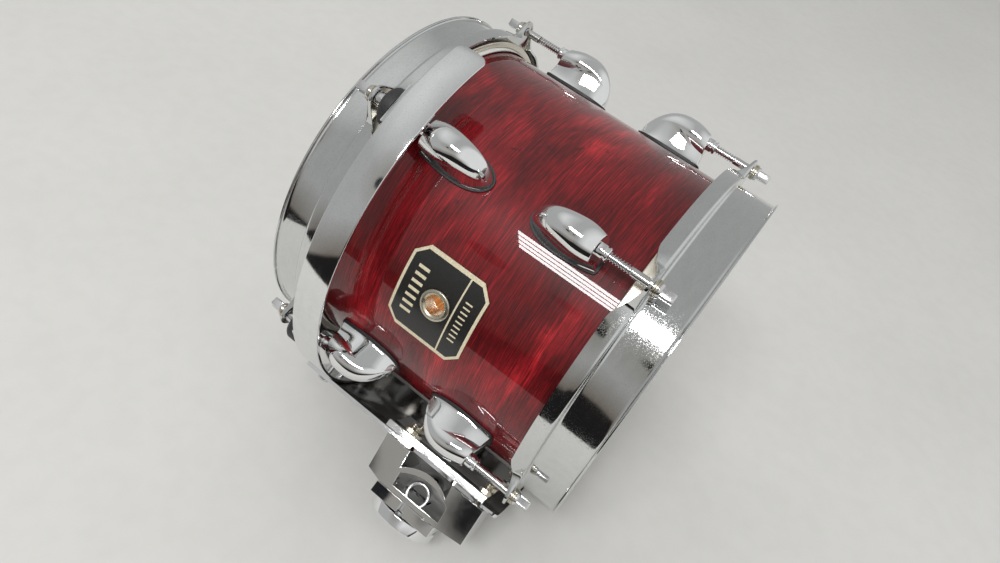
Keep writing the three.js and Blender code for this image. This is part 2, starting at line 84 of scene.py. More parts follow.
RING_OUTER = 160.0
RING_INNER = 157.5
RING_EDGES = (-82.5, -60.0)
RING_MIDDLE = 0.5 * sum(RING_EDGES)
RING_ENDS = (-225.0, 21.0)
RING_RODS = (0.0, -72.0, -144.0, -216.0)
RING_SCREW_ANGLES = (-93.0, -104.0)
TAB_FOOT = RING_EDGES[0] - 2.3  # the tab's far face
TAB_HALF_WIDTH = 14
TAB_RADIUS = 12.5

PLATE_ANGLE = -106.5
PLATE_HALF_ANGLE = 18.0
PLATE_ENDS = (-86, 97)
PLATE_OUTER = 162.9
PLATE_INNER = 160.4
BACKING_ANGLE = -98.5
BACKING_HALF_ANGLE = 9.2
SCREW_HOLE = 2.8  # radius
BRACKET_SCREWS = ((10, 4.8), (10, -4.8), (80, 4.8), (80, -4.8))  # along, angle to the side

BRACKET_ANGLE = -96.0
BRACKET_TOP = 191.5
BRACKET_HALF = 26.0
BOLT_MIDDLE = 41.0
SLOT_HALF_LENGTH = 10.6
SLOT_HALF_WIDTH = 6
EYE_HEIGHT = 187.0
KNOB_FACE = 201.0
KNOB_RADIUS = 27.2

AXIS = 0.001  # as near to its axis as a turned profile comes
MILLIMETRE = 0.001  # in metres

# ---- the drum's place in the row frame ----

TIP_ANGLE = 1.95  # of the drum's axis out of the level
ROLL_ANGLE = 34.4  # of the drum about its axis

shell_low, shell_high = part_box("shell")
CENTRE = (shell_low + shell_high) / 2
TURN = (Matrix.Rotation(math.radians(TIP_ANGLE), 4, "Y")
        @ Matrix.Rotation(math.radians(ROLL_ANGLE), 4, "X"))
POSE = Matrix.Translation(CENTRE) @ TURN @ Matrix.Scale(MILLIMETRE, 4)
HERE = Matrix.Identity(4)
FLIP = Matrix.Rotation(math.pi, 4, "Z")
ENDS = (("resonant", HERE, 0.0), ("batter", FLIP, BATTER_RISE))
Z_TO_X = Matrix.Rotation(math.pi / 2, 4, "Y")
Z_TO_MINUS_Y = Matrix.Rotation(math.pi / 2, 4, "X")


def around(angle):
    """The turn about the drum's axis that takes what is above it to that angle."""
    return Matrix.Rotation(-math.radians(angle), 4, "X")


def shift(x=0.0, y=0.0, z=0.0):
    return Matrix.Translation((x, y, z))


# ---- mesh helpers ----


def clean_mesh(name, verts, faces, reach):
    """A mesh with points closer than the reach joined, and its faces turned outwards."""
    mesh = bpy.data.meshes.new(name)
    mesh.from_pydata([Vector(v) for v in verts], [], faces)
    work = bmesh.new()
    work.from_mesh(mesh)
    bmesh.ops.remove_doubles(work, verts=work.verts, dist=reach)
    bmesh.ops.recalc_face_normals(work, faces=work.faces)
    work.to_mesh(mesh)
    work.free()
    return mesh


def link(name, content):
    """A new object in the scene that holds a mesh, lamp or camera."""
    thing = bpy.data.objects.new(name, content)
    bpy.context.scene.collection.objects.link(thing)
    return thing


def make(name, verts, faces, *materials, body="drum", place=HERE, node=None, slot=None, crease=35):
    """A piece in the row frame that rides on a body and stands for a CAD node."""
    mesh = clean_mesh(name, verts, faces, 0.001)
    mesh.transform(POSE @ place)
    for material in materials:
        mesh.materials.append(material)
    mesh.shade_smooth()
    mesh.set_sharp_from_angle(angle=math.radians(crease))
    piece = link(name, mesh)
    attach(piece, body)
    if node:
        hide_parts(node)
    return piece


def use_second_material(piece, wanted):
    """Gives the second material to the faces whose place passes a test of (along, out)."""
    back = POSE.inverted()
    for face in piece.data.polygons:
        point = back @ face.center
        if wanted(point.x, math.hypot(point.y, point.z)):
            face.material_index = 1


def grid(rows, closed_rows=False, closed_columns=False):
    """Faces between successive rows of points of equal length."""
    width = len(rows[0])
    verts = [point for row in rows for point in row]
    faces = []
    for i in range(len(rows) if closed_rows else len(rows) - 1):
        j = (i + 1) % len(rows)
        for k in range(width if closed_columns else width - 1):
            m = (k + 1) % width
            faces.append((i * width + k, i * width + m, j * width + m, j * width + k))
    return verts, faces


def join(*parts):
    """Several (verts, faces) lists as one."""
    verts, faces = [], []
    for part_verts, part_faces in parts:
        start = len(verts)
        verts.extend(part_verts)
        faces.extend(tuple(start + i for i in face) for face in part_faces)
    return verts, faces


def moved(part, matrix):
    """The (verts, faces) after a turn or a shift."""
    verts, faces = part
    return [tuple(matrix @ Vector(v)) for v in verts], faces


def at_angle(profile, angle):
    """The points of a profile of (out, along) at an angle, in radians, about the drum's axis."""
    return [(a, out * math.sin(angle), out * math.cos(angle)) for out, a in profile]


def revolve(profile, steps):
    """A closed profile of (out, along) points turned about the drum's axis."""
    rows = [at_angle(profile, 2 * math.pi * i / steps) for i in range(steps)]
    return grid(rows, closed_rows=True, closed_columns=True)


def revolve_upright(profile, steps=64):
    """A closed profile of (radius, height) points turned about Z."""
    rows = []
    for i in range(steps):
        angle = 2 * math.pi * i / steps
        rows.append([(r * math.cos(angle), r * math.sin(angle), h) for r, h in profile])
    return grid(rows, closed_rows=True, closed_columns=True)


def rounded(points, radii, steps=4, closed=True):
    """A polygon with its corners cut to arcs; radii is one number or one for each corner."""
    count = len(points)
    if not isinstance(radii, (list, tuple)):
        radii = [radii] * count
    result = []
    for i, point in enumerate(points):
        here = Vector(point)
        radius = radii[i]
        if radius <= 0 or (not closed and i in (0, count - 1)):
            result.append(tuple(here))
            continue
        before = Vector(points[i - 1]) - here
        after = Vector(points[(i + 1) % count]) - here
        angle = before.angle(after)
        if angle > math.radians(175):
            result.append(tuple(here))
            continue
        reach = min(radius / math.tan(angle / 2), 0.49 * before.length, 0.49 * after.length)
        start = here + before.normalized() * reach
        end = here + after.normalized() * reach
        for k in range(steps + 1):
            t = k / steps
            result.append(tuple((1 - t) ** 2 * start + 2 * t * (1 - t) * here + t * t * end))
    return result


def prism(outline, low_z, high_z):
    """A closed outline of (x, y) points between two heights."""
    count = len(outline)
    verts = [(x, y, low_z) for x, y in outline] + [(x, y, high_z) for x, y in outline]
    faces = [tuple(range(count))[::-1], tuple(range(count, 2 * count))]
    faces += [(i, (i + 1) % count, count + (i + 1) % count, count + i) for i in range(count)]
    return verts, faces


def prism_across(outline, half_width):
    """A closed outline of (along, out) points, the same distance to both sides around."""
    verts, faces = prism(outline, -half_width, half_width)
    return [(x, -z, y) for x, y, z in verts], faces


def tube_part(inner, outer, ends, edges, steps):
    """Part of a tube around the drum between two angles and two ends along it."""
    corners = ((inner, edges[0]), (inner, edges[1]), (outer, edges[1]), (outer, edges[0]))
    rows = []
    for i in range(steps + 1):
        rows.append(at_angle(corners, math.radians(ends[0] + (ends[1] - ends[0]) * i / steps)))
    verts, faces = grid(rows, closed_columns=True)
    last = 4 * steps
    faces += [(3, 2, 1, 0), (last, last + 1, last + 2, last + 3)]
    return verts, faces


def rectangle(low_x, high_x, low_y, high_y):
    return [(low_x, low_y), (high_x, low_y), (high_x, high_y), (low_x, high_y)]


def box(x_span, y_span, z_span):
    return prism(rectangle(*x_span, *y_span), *z_span)


def cylinder(radius, start, end, steps=32):
    """A cylinder along Z."""
    outline = []
    for i in range(steps):
        angle = 2 * math.pi * i / steps
        outline.append((radius * math.cos(angle), radius * math.sin(angle)))
    return prism(outline, start, end)


def drum_core(out, start, end):
    """A thick tube about the drum's axis, to cut a seat that fits round the drum."""
    return revolve([(60, start), (out, start), (out, end), (60, end)], steps=360)


def smooth_step(value, low_value, high_value):
    """0 below the low value, 1 above the high one, with a soft start and end between."""
    t = min(max((value - low_value) / (high_value - low_value), 0.0), 1.0)
    return t * t * (3 - 2 * t)


def curve(start, corner, end, steps=4):
    """Points from start to end on a curve that bends towards the corner."""
    result = []
    for k in range(steps + 1):
        t = k / steps
        result.append(tuple((1 - t) ** 2 * s + 2 * t * (1 - t) * c + t * t * e
                            for s, c, e in zip(start, corner, end)))
    return result


def cut(part, *cutters, within=None):
    """What of the part is within another, if that is given, less each cutter in turn."""
    base = link("cut", clean_mesh("cut", *part, 0.0005))
    steps = [("INTERSECT", within)] if within else []
    steps += [("DIFFERENCE", cutter) for cutter in cutters]
    for operation, other in steps:
        tool = link("cut", clean_mesh("cut", *other, 0.0005))
        step = base.modifiers.new("cut", "BOOLEAN")
        step.operation = operation
        step.solver = "EXACT"
        step.object = tool
        graph = bpy.context.evaluated_depsgraph_get()
        result = bpy.data.meshes.new_from_object(base.evaluated_get(graph))
        base.modifiers.clear()
        base.data = result
        bpy.data.objects.remove(tool)
    verts = [tuple(v.co) for v in base.data.vertices]
    faces = [tuple(p.vertices) for p in base.data.polygons]
    bpy.data.objects.remove(base)
    return verts, faces


def bevel(piece, width, segments=2):
    """Rounds the piece's sharp edges; width is in millimetres."""
    step = piece.modifiers.new("edge", "BEVEL")
    step.width = width * MILLIMETRE
    step.segments = segments
    step.limit_method = "ANGLE"
    step.angle_limit = math.radians(40)


# ---- material helpers ----


class Nodes:
    """A new material, or another node tree, with short ways to add nodes to it."""

    def __init__(self, name=None, tree=None):
        if name:
            self.material = bpy.data.materials.new(name)
            self.material.use_nodes = True
            tree = self.material.node_tree
            self.shader = tree.nodes["Principled BSDF"]
        self.tree = tree

    def add(self, kind, **values):
        node = self.tree.nodes.new(kind)
        for key, value in values.items():
            setattr(node, key, value)
        return node

    def link(self, source, target):
        self.tree.links.new(source, target)

    def set(self, **values):
        for key, value in values.items():
            self.shader.inputs[key.replace("_", " ")].default_value = value

    def drum_point(self, scale=(1, 1, 1)):
        """The surface point in the drum's own frame, in millimetres, each axis scaled."""
        turn_back = TURN.inverted()
        coordinates = self.add("ShaderNodeTexCoord")
        mapping = self.add("ShaderNodeMapping", vector_type="POINT")
        mapping.inputs["Scale"].default_value = (1000, 1000, 1000)
        mapping.inputs["Rotation"].default_value = turn_back.to_euler("XYZ")
        mapping.inputs["Location"].default_value = -(turn_back @ (CENTRE * 1000))
        self.link(coordinates.outputs["Object"], mapping.inputs["Vector"])
        stretch = self.add("ShaderNodeVectorMath", operation="MULTIPLY")
        stretch.inputs[1].default_value = scale
        self.link(mapping.outputs["Vector"], stretch.inputs[0])
        return stretch.outputs["Vector"]

    def noise(self, scale, detail, roughness=0.5, distortion=0.0):
        texture = self.add("ShaderNodeTexNoise")
        texture.inputs["Scale"].default_value = 1.0
        texture.inputs["Detail"].default_value = detail
        texture.inputs["Roughness"].default_value = roughness
        texture.inputs["Distortion"].default_value = distortion
        self.link(self.drum_point(scale), texture.inputs["Vector"])
        return texture.outputs["Fac"]

    def ramp(self, factor, *stops):
        """Colours or numbers at places from 0 to 1."""
        ramp = self.add("ShaderNodeValToRGB")
        elements = ramp.color_ramp.elements
        while len(elements) > 1:
            elements.remove(elements[-1])
        for i, (place, value) in enumerate(stops):
            element = elements[0] if i == 0 else elements.new(place)
            element.position = place
            colour = (value,) * 3 if isinstance(value, (int, float)) else value
            element.color = (*colour, 1)
        self.link(factor, ramp.inputs["Fac"])
        return ramp.outputs["Color"]

    def mix(self, factor, first, second, blend="MIX"):
        mix = self.add("ShaderNodeMix", data_type="RGBA", blend_type=blend)
        for socket, value in ((mix.inputs[0], factor), (mix.inputs[6], first), (mix.inputs[7], second)):
            if isinstance(value, bpy.types.NodeSocket):
                self.link(value, socket)
            elif isinstance(value, (int, float)):
                socket.default_value = value
            else:
                socket.default_value = (*value, 1)
        return mix.outputs[2]

    def math(self, operation, *values):
        node = self.add("ShaderNodeMath", operation=operation)
        for socket, value in zip(node.inputs, values):
            if isinstance(value, bpy.types.NodeSocket):
                self.link(value, socket)
            else:
                socket.default_value = value
        return node.outputs["Value"]

    def span(self, value, start, end):
        """0 where value is below start, 1 above end, even between."""
        node = self.add("ShaderNodeMapRange")
        node.inputs["From Min"].default_value = start
        node.inputs["From Max"].default_value = end
        self.link(value, node.inputs["Value"])
        return node.outputs["Result"]

    def bump(self, height, strength, distance):
        bump = self.add("ShaderNodeBump")
        bump.inputs["Strength"].default_value = strength
        bump.inputs["Distance"].default_value = distance
        self.link(height, bump.inputs["Height"])
        self.link(bump.outputs["Normal"], self.shader.inputs["Normal"])

    def colour(self, socket):
        self.link(socket, self.shader.inputs["Base Color"])

    def roughness(self, socket):
        self.link(socket, self.shader.inputs["Roughness"])


def lacquer_material():
    """Stained wood with fine grain running round the drum, under a clear gloss coat."""
    n = Nodes("red_lacquer")
    streaks = n.noise((1.25, 0.028, 0.028), detail=6, roughness=0.75)
    fine = n.noise((2.9, 0.07, 0.07), detail=3, roughness=0.65)
    patches = n.noise((0.028, 0.014, 0.014), detail=3, roughness=0.55, distortion=0.6)
    knots = n.noise((0.1, 0.055, 0.055), detail=2, roughness=0.5, distortion=1.2)
    base = n.ramp(patches, (0.3, (0.06, 0.0012, 0.0025)), (0.47, (0.125, 0.0025, 0.005)),
                  (0.6, (0.21, 0.005, 0.009)), (0.74, (0.4, 0.014, 0.02)))
    grain = n.ramp(streaks, (0.34, 0.4), (0.46, 0.82), (0.54, 1.0), (0.66, 1.9))
    base = n.mix(1.0, base, grain, "MULTIPLY")
    fine_tone = n.ramp(fine, (0.36, 0.5), (0.5, 0.95), (0.64, 1.6))
    base = n.mix(0.85, base, fine_tone, "MULTIPLY")
    knot_tone = n.ramp(knots, (0.24, 0.25), (0.33, 1.0))
    n.colour(n.mix(0.7, base, knot_tone, "MULTIPLY"))
    n.set(Roughness=0.4, Specular_IOR_Level=0.15)
    n.set(Coat_Weight=1.0, Coat_Roughness=0.02, Coat_IOR=1.42)
    wave = n.noise((0.02, 0.02, 0.02), detail=1)
    n.bump(wave, 0.12, 0.0006)
    return n.material


def wood_material():
    """The bare amber-brown wood inside the shell."""
    n = Nodes("inner_wood")
    streaks = n.noise((0.8, 0.03, 0.03), detail=5, roughness=0.6)
    n.colour(n.ramp(streaks, (0.3, (0.22, 0.09, 0.03)), (0.55, (0.5, 0.24, 0.08)),
                    (0.75, (0.62, 0.34, 0.14))))
    n.set(Roughness=0.8, Specular_IOR_Level=0.1)
    n.bump(streaks, 0.2, 0.0003)
    return n.material


def chrome_material(name, tone, low_rough, high_rough, haze_scale, ripple=0.05, pits=0.0):
    """Plated metal with faint haze, a very slight waviness and, where it is old, fine pits."""
    n = Nodes(name)
    haze = n.noise(haze_scale, detail=5, roughness=0.65)
    tint = n.ramp(haze, (0.3, tuple(0.93 * c for c in tone)), (0.7, tone))
    rough = n.ramp(haze, (0.3, low_rough), (0.72, high_rough))
    if pits:
        spots = n.noise((1.3, 1.3, 1.3), detail=3, roughness=0.6)
        rough = n.math("ADD", rough, n.math("MULTIPLY", n.span(spots, 0.5, 0.64), pits))
        tint = n.mix(1.0, tint, n.ramp(spots, (0.55, 1.0), (0.68, 0.86)), "MULTIPLY")
    n.colour(tint)
    n.set(Metallic=1.0)
    n.roughness(rough)
    waves = n.noise((0.06, 0.06, 0.06), detail=2)
    n.bump(waves, ripple, 0.0005)
    return n.material


def rubber_material():
    """Matt black rubber."""
    n = Nodes("black_rubber")
    speck = n.noise((1.5, 1.5, 1.5), detail=4)
    n.colour(n.ramp(speck, (0.35, (0.012, 0.012, 0.013)), (0.7, (0.035, 0.035, 0.036))))
    n.roughness(n.ramp(speck, (0.3, 0.42), (0.7, 0.6)))
    n.bump(speck, 0.25, 0.0001)
    return n.material


def film_material():
    """A coated white drum head."""
    n = Nodes("head_film")
    grain = n.noise((0.9, 0.9, 0.9), detail=6, roughness=0.7)
    cloud = n.noise((0.03, 0.03, 0.03), detail=2)
    tone = n.ramp(cloud, (0.3, (0.8, 0.8, 0.775)), (0.7, (0.83, 0.83, 0.81)))
    n.colour(tone)
    n.set(Roughness=0.6)
    n.bump(grain, 0.3, 0.0002)
    return n.material


def badge_material():
    """Gloss black with a cream edge, one dividing line and two rows of plain bars."""
    n = Nodes("badge")
    point = n.add("ShaderNodeSeparateXYZ")
    turned = n.add("ShaderNodeVectorRotate", rotation_type="X_AXIS")
    turned.inputs["Angle"].default_value = math.radians(BADGE_ANGLE)
    n.link(n.drum_point(), turned.inputs["Vector"])
    n.link(turned.outputs["Vector"], point.inputs["Vector"])
    along = n.math("SUBTRACT", point.outputs["X"], BADGE_MIDDLE)
    side = point.outputs["Y"]
    long = n.math("ABSOLUTE", along)
    wide = n.math("ABSOLUTE", side)
    corner = n.math("MULTIPLY", n.math("SUBTRACT", n.math("ADD", long, wide), 51.8), 0.7071)
    edge = n.math("MAXIMUM", n.math("SUBTRACT", long, BADGE_HALF_LENGTH), n.math("SUBTRACT", wide, 30.2))
    edge = n.math("MAXIMUM", edge, corner)
    rim = n.math("GREATER_THAN", edge, -2.0)

    def band(value, middle, half):
        """1 within half of the middle."""
        return n.math("LESS_THAN", n.math("ABSOLUTE", n.math("SUBTRACT", value, middle)), half)

    def bars(middle, half_length, pitch, half_width, half_row):
        """A row of short bars across the badge."""
        place = n.math("PINGPONG", n.math("ADD", side, 0.5 * pitch), 0.5 * pitch)
        bar = n.math("GREATER_THAN", place, 0.5 * pitch - half_width)
        bar = n.math("MULTIPLY", bar, band(along, middle, half_length))
        return n.math("MULTIPLY", bar, band(side, 0.0, half_row))

    line = n.math("MULTIPLY", band(along, 12.6, 0.55), n.math("LESS_THAN", edge, 0.0))
    mark = n.math("ADD", rim, line)
    mark = n.math("ADD", mark, bars(-17.5, 4.2, 5.4, 1.1, 20.0))
    mark = n.math("ADD", mark, bars(19.0, 2.6, 3.6, 0.55, 17.0))
    mark = n.math("MINIMUM", mark, 1.0)
    speck = n.noise((0.8, 0.8, 0.8), detail=4)
    black = n.ramp(speck, (0.3, (0.006, 0.006, 0.006)), (0.75, (0.014, 0.013, 0.013)))
    cream = n.ramp(speck, (0.3, (0.5, 0.44, 0.3)), (0.7, (0.68, 0.61, 0.45)))
    n.colour(n.mix(mark, black, cream))
    n.set(Roughness=0.35, Coat_Weight=0.4, Coat_Roughness=0.12)
    n.bump(mark, 0.3, 0.0001)
    return n.material


def floor_material():
    """A pale, matt, faintly clouded table top."""
    n = Nodes("floor")
    cloud = n.noise((0.004, 0.004, 0.004), detail=4)
    speck = n.noise((0.06, 0.06, 0.06), detail=3)
    tone = n.ramp(cloud, (0.3, (0.555, 0.55, 0.53)), (0.7, (0.585, 0.58, 0.562)))
    n.colour(n.mix(0.25, tone, n.ramp(speck, (0.35, 0.9), (0.6, 1.0)), "MULTIPLY"))
    n.set(Roughness=0.75)
    return n.material


LACQUER = lacquer_material()
WOOD = wood_material()
CHROME = chrome_material("chrome", (0.87, 0.875, 0.88), 0.025, 0.08, (0.05, 0.05, 0.05), 0.04)
HOOP_CHROME = chrome_material("hoop_chrome", (0.7, 0.71, 0.705), 0.025, 0.09, (0.22, 0.09, 0.09),
                              pits=0.12)
RING_CHROME = chrome_material("ring_chrome", (0.82, 0.825, 0.83), 0.02, 0.1, (0.1, 0.04, 0.04), 0.06,
                              pits=0.04)
STEEL = chrome_material("bright_steel", (0.7, 0.7, 0.7), 0.1, 0.25, (0.6, 0.6, 0.6))
BRASS = chrome_material("brass", (0.64, 0.59, 0.47), 0.2, 0.36, (0.5, 0.5, 0.5))
# painted shade: a near-black chrome for the mount plate's inner face, standing in for the deep shadow that
# face sees and reflects
PAINTED_SHADE_CHROME = chrome_material("painted_shade_chrome", (0.16, 0.155, 0.145), 0.06, 0.2, (0.12, 0.06, 0.06), 0.1)
ALUMINIUM = chrome_material("hoop_aluminium", (0.78, 0.74, 0.64), 0.28, 0.42, (0.3, 0.1, 0.1))
RUBBER = rubber_material()
FILM = film_material()
BADGE = badge_material()


# ---- shell, badge and vent ----


def build_shell():
    """The lacquered tube, with bare wood on its inside and bearing edges."""
    outside = rounded(
        [(SHELL_INNER, -HALF_DEPTH + 4.7), (SHELL - 1.8, -HALF_DEPTH), (SHELL, -HALF_DEPTH + 2),
         (SHELL, HALF_DEPTH - 2), (SHELL - 1.8, HALF_DEPTH), (SHELL_INNER, HALF_DEPTH - 4.7)],
        [0, 0.6, 2.0, 2.0, 0.6, 0], steps=3, closed=False)
    wall = revolve(outside, steps=240)
    vent = moved(cylinder(VENT_HOLE, 110, 140), around(BADGE_ANGLE) @ shift(BADGE_MIDDLE))
    shell = make("shell_lacquered", *cut(wall, vent), LACQUER, WOOD,
                 node="shell", slot="red_lacquer")
    use_second_material(shell, lambda a, out: out < SHELL - 1.2 or abs(a) > HALF_DEPTH - 0.6)


def badge_outline(long, wide, corner):
    """A rectangle with its corners cut off."""
    return [(long - corner, -wide), (long, -wide + corner),
            (long, wide - corner), (long - corner, wide),
            (-long + corner, wide), (-long, wide - corner),
            (-long, -wide + corner), (-long + corner, -wide)]


def build_badge():
    """The curved badge, and the eyelet that holds it in the vent hole."""
    skin = tube_part(SHELL + 0.5, SHELL + 1.3, (-18, 18), (-50, 50), 36)
    plan = prism(badge_outline(BADGE_HALF_LENGTH, 31.0, 8.5), 100, 140)
    hole = cylinder(VENT_HOLE, 100, 140)
    verts, faces = cut(skin, hole, within=plan)
    place = around(BADGE_ANGLE) @ shift(BADGE_MIDDLE)
    bevel(make("badge_plate", verts, faces, BADGE, place=place, node="badge", slot="badge_metal"), 0.2)
    profile = rounded(
        [(6.7, SHELL_INNER - 2.2), (10, SHELL_INNER - 2.2), (10, SHELL_INNER - 1), (7.9, SHELL_INNER - 1),
         (7.9, SHELL + 1.7), (10.8, SHELL + 1.7), (10.4, SHELL + 2.8), (8.4, SHELL + 3.2),
         (6.7, SHELL + 2.2)],
        [0.4, 0.3, 0.3, 0.2, 0.2, 0.3, 0.9, 1.2, 0.8])
    make("vent_eyelet", *revolve_upright(profile), BRASS, place=place, node="vent_grommet", slot="chrome")


# ---- heads and hoops ----


def build_head(end, place, rise):
    """The film, and the metal hoop that holds its edge."""
    face = HALF_DEPTH + 0.9
    inner = SHELL + 0.9
    profile = [(AXIS, face)]
    profile += rounded([(60, face), (127.2, face), (128.7, face - 1.4), (128.7, 90), (inner, 90),
                        (inner, face - 1.8), (inner - 1, face - 0.6), (60, face - 0.6)],
                       [0, 1.0, 1.0, 0, 0, 0.6, 0.6, 0], closed=False)
    profile += [(AXIS, face - 0.6)]
    make(f"{end}_head", *revolve(profile, steps=128), FILM, place=place,
         node=f"{end}_head_film", slot="head_film")
    top = LEDGE + rise - 0.4
    ring = rounded([(129, top - 8.5), (133.2, top - 8.5), (133.2, top), (129, top)], 0.8)
    make(f"{end}_flesh_ring", *revolve(ring, steps=160), ALUMINIUM, place=place,
         node=f"{end}_flesh_hoop", slot="hoop_aluminium")


def hoop_edge(side):
    """How far out the ledge's bend is, at a distance to the side of a rod."""
    side = abs(side)
    ear_out = ROD_CIRCLE + math.sqrt(EAR_RADIUS ** 2 - EAR_HALF_WIDTH ** 2)
    if side <= EAR_HALF_WIDTH:
        return ROD_CIRCLE + math.sqrt(EAR_RADIUS ** 2 - side ** 2)
    blend = smooth_step(side, EAR_HALF_WIDTH - 4, EAR_REACH)
    start = smooth_step(EAR_HALF_WIDTH, EAR_HALF_WIDTH - 4, EAR_REACH)
    return ear_out + (SKIRT - ear_out) * (blend - start) / (1 - start)


def hoop_section(side, rise):
    """The hoop's section at a distance to the side of a rod, as a closed list of (out, along)."""
    edge = hoop_edge(side)
    inner = edge - SHEET
    ledge = LEDGE + rise
    top = ledge + SHEET
    drop = (LEDGE - SKIRT_EDGE) * smooth_step(abs(side), 1.5, 29)
    flare = 1.2 * (smooth_step(abs(side), 8, 16) - smooth_step(abs(side), 18, 34))
    lip = ledge - drop
    bend = min(2.4, 0.3 + drop)
    inner_bend = min(1.2, 0.1 + drop)
    wall_out = WALL + SHEET
    under_rim = RIM_TOP - 1.5
    section = [(edge + flare, lip), (edge + 0.5 * flare, 0.5 * (lip + ledge))]
    section += curve((edge, top - bend), (edge, top), (edge - bend, top))
    section += curve((wall_out + 2, top), (wall_out, top), (wall_out, top + 2))
    section += curve((wall_out, RIM_TOP - 4), (wall_out, under_rim), (wall_out + 1.4, under_rim))
    section += curve((RIM_OUTER - 0.4, RIM_TOP - 1.4), (RIM_OUTER, RIM_TOP - 1.4),
                     (RIM_OUTER, RIM_TOP - 0.7))
    section += curve((RIM_OUTER, RIM_TOP - 0.5), (RIM_OUTER, RIM_TOP), (RIM_OUTER - 0.6, RIM_TOP))
    section += curve((WALL + 2.4, RIM_TOP), (WALL, RIM_TOP), (WALL, RIM_TOP - 3))
    section += curve((WALL, ledge + 1.5), (WALL, ledge), (WALL + 1.5, ledge))
    section += curve((inner - inner_bend, ledge), (inner, ledge), (inner, ledge - inner_bend))
    section += [(inner + 0.5 * flare, min(0.5 * (lip + ledge), ledge - inner_bend)),
                (inner + flare, lip)]
    return section


def hoop_sides():
    """Distances to the side of a rod, from one midway point to the next, close together at the ear."""
    half = 0.5 * LUG_PITCH * math.pi / 180 * ROD_CIRCLE
    ear, near, far = 18, 34, 22
    sides = [-half + (half - ear) * k / far for k in range(far)]
    sides += [-ear + ear * k / near for k in range(2 * near)]
    sides += [ear + (half - ear) * k / far for k in range(far)]
    return sides


def build_counterhoop(end, place, rise):
    """A pressed hoop with a hole in each ear."""
    rows = []
    for k in range(5):
        for side in hoop_sides():
            angle = math.radians(k * LUG_PITCH) + side / ROD_CIRCLE
            rows.append(at_angle(hoop_section(side, rise), angle))
    hoop = grid(rows, closed_rows=True, closed_columns=True)
    ledge = LEDGE + rise
    holes = [moved(cylinder(3.5, ledge - 8, ledge + 8, 24),
                   around(k * LUG_PITCH) @ shift(0, 0, ROD_CIRCLE) @ Z_TO_X)
             for k in range(5)]
    verts, faces = cut(hoop, join(*holes))
    make(f"{end}_hoop", verts, faces, HOOP_CHROME, place=place,
         node=f"{end}_counterhoop", slot="chrome", crease=40)


# ---- lugs, gaskets and rods ----


def lug_half_width(a):
    """Half the width of the lug's base at a place along the drum."""
    if a < LUG_WIDEST:
        share = (a - LUG_TAIL) / (LUG_WIDEST - LUG_TAIL)
        return LUG_HALF_WIDTH * math.sqrt(max(1 - (1 - share) ** 2.2, 0.0))
    return LUG_HALF_WIDTH - 3.2 * ((a - LUG_WIDEST) / (LUG_FACE - LUG_WIDEST)) ** 1.8


def lug_height(a):
    """Height of the lug's crown over its foot."""
    share = min((a - LUG_TAIL) / 28, 1.0)
    fall = 3.4 * max((a - 46) / (LUG_FACE - 46), 0.0) ** 2.2
    return LUG_HEIGHT * (1 - (1 - share) ** 2.3) ** 0.6 - fall


def lug_section(a):
    """From the foot over the crown: a flared foot, a waist that deepens to the face, a round barrel."""
    foot = GASKET_TOP + 0.3
    wide = lug_half_width(a)
    height = lug_height(a)
    pinch = smooth_step(a, 30, LUG_FACE)
    barrel = wide * (0.86 + 0.36 * pinch)
    centre = 0.645 * height
    dip = math.radians(4 + 44 * pinch)
    crease = (barrel * math.cos(dip), centre - barrel * math.sin(dip))
    near = curve((wide, 0.0), (crease[0], 0.12 * crease[1]), crease, 8)
    for k in range(1, 6):
        turn = dip * (1 - k / 5)
        near.append((barrel * math.cos(turn), centre - barrel * math.sin(turn)))
    for k in range(1, 10):
        turn = 0.5 * math.pi * k / 9
        near.append((barrel * math.cos(turn), centre + (height - centre) * math.sin(turn)))
    lean = 5.0 * smooth_step(a, 40, LUG_FACE)
    near = [(a - lean * h / LUG_HEIGHT, side, foot + h) for side, h in near]
    far = [(x, -y, z) for x, y, z in reversed(near[:-1])]
    return near + far


def lug_mesh():
    """The lug's shell, its face rounded over and bored for the swivel nut."""
    stations = [16.38, 16.6, 17, 17.7, 18.8, 20.5, 22.8, 25.6, 29]
    stations += [29 + 2.4 * k for k in range(1, 16)] + [LUG_FACE - 0.7]
    rows = [lug_section(a) for a in stations]
    middle = GASKET_TOP + 14
    for a, share in ((65.6, 0.985), (65.8, 0.955), (65.85, 0.92)):
        rows.append([(x, y * share, middle + (z - middle) * share if z > middle else z)
                     for x, y, z in lug_section(a)])
    verts, faces = grid(rows)
    width = len(rows[0])
    last = (len(rows) - 1) * width
    faces.append(tuple(range(last, last + width)))
    faces.append(tuple(range(width))[::-1])
    left_edge = [i * width for i in range(len(rows))]
    right_edge = [i * width + width - 1 for i in reversed(range(len(rows)))]
    faces.append(tuple(left_edge + right_edge))
    bore = moved(cylinder(3.4, -24, 24, 28), shift(64, 0, ROD_CIRCLE) @ Z_TO_X)
    return cut((verts, faces), bore)


def collar_mesh():
    """The swivel nut's round end, with one groove."""
    profile = rounded([(3.2, 62), (4.7, 62), (4.7, 66.6), (4.0, 67.0), (4.0, 67.5), (4.7, 67.9),
                       (4.7, 69.0), (4.2, 69.6), (3.2, 69.6)], 0.3, steps=2)
    return moved(revolve(profile, steps=40), shift(0, 0, ROD_CIRCLE))


